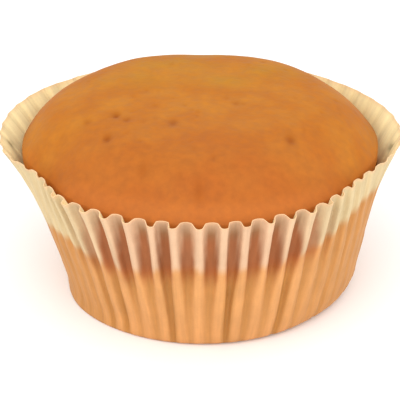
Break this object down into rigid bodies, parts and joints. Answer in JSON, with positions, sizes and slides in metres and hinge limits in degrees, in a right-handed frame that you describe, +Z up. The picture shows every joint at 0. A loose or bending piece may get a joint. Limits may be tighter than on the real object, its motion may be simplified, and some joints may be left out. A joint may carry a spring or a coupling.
{
  "type": "dog muffin",
  "caption": "Plain muffin with a broad golden-brown dome, baked in a flared, pleated paper case with a flat base.",
  "frame": {"origin": "bottom centre of the object: on the surface it stands on, under the centre of the paper case's rim", "axes": "+Z up out of the paper case, +X to the right and -Y towards the camera in the picture"},
  "size_m": [0.0702, 0.0692, 0.0346],
  "materials": {
    "baked_crust": "matte",
    "greaseproof_paper": "satin"
  },
  "bodies": {
    "root": {"muffin": "baked_crust", "paper_case": "greaseproof_paper"}
  },
  "joints": []
}
